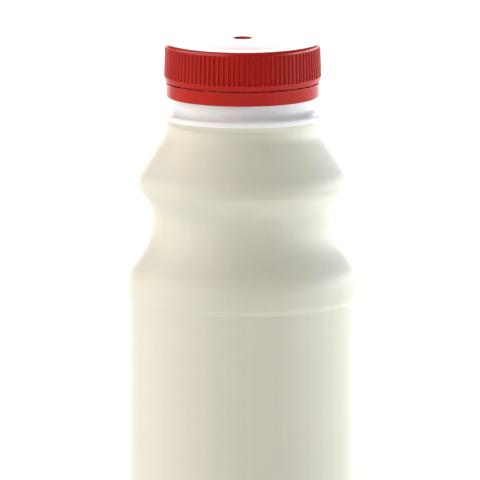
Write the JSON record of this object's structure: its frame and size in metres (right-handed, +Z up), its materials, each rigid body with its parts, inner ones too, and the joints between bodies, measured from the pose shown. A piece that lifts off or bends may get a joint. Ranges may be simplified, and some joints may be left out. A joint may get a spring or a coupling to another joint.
{
  "type": "milk bottle",
  "caption": "Blow-moulded plastic milk bottle, full, with a waisted shoulder, a neck support ring, and a ribbed screw cap that unscrews above a drop-down tamper band.",
  "frame": {"origin": "centre of the foot, on the surface that the bottle stands on", "axes": "+Z up along the bottle's axis, -Y towards the picture's camera"},
  "size_m": [0.0612, 0.0612, 0.1699],
  "materials": {
    "natural_plastic": "satin",
    "milk": "gloss",
    "liner_foam": "matte",
    "red_plastic": "gloss"
  },
  "bodies": {
    "bottle": {"bottle": "natural_plastic", "milk": "milk"},
    "liner": {"cap_liner": "liner_foam"},
    "cap": {"cap": "red_plastic"},
    "band": {"tamper_band": "red_plastic", "band_bridges": "red_plastic"}
  },
  "joints": [
    {"name": "cap_lift", "type": "slide", "parent": "bottle", "child": "liner", "axis": [0, 0, 1], "range_m": [0, 0.0288]},
    {"name": "cap_turn", "type": "hinge", "parent": "liner", "child": "cap", "pos_m": [0, 0, 0.164], "axis": [0, 0, 1], "range_deg": [0, 1080]},
    {"name": "band_drop", "type": "slide", "parent": "bottle", "child": "band", "axis": [0, 0, 1], "range_m": [-0.00365, 0]}
  ],
  "couplings": [
    {"joint": "cap_lift", "follows": "cap_turn", "m_per_rad": 0.0015279}
  ]
}
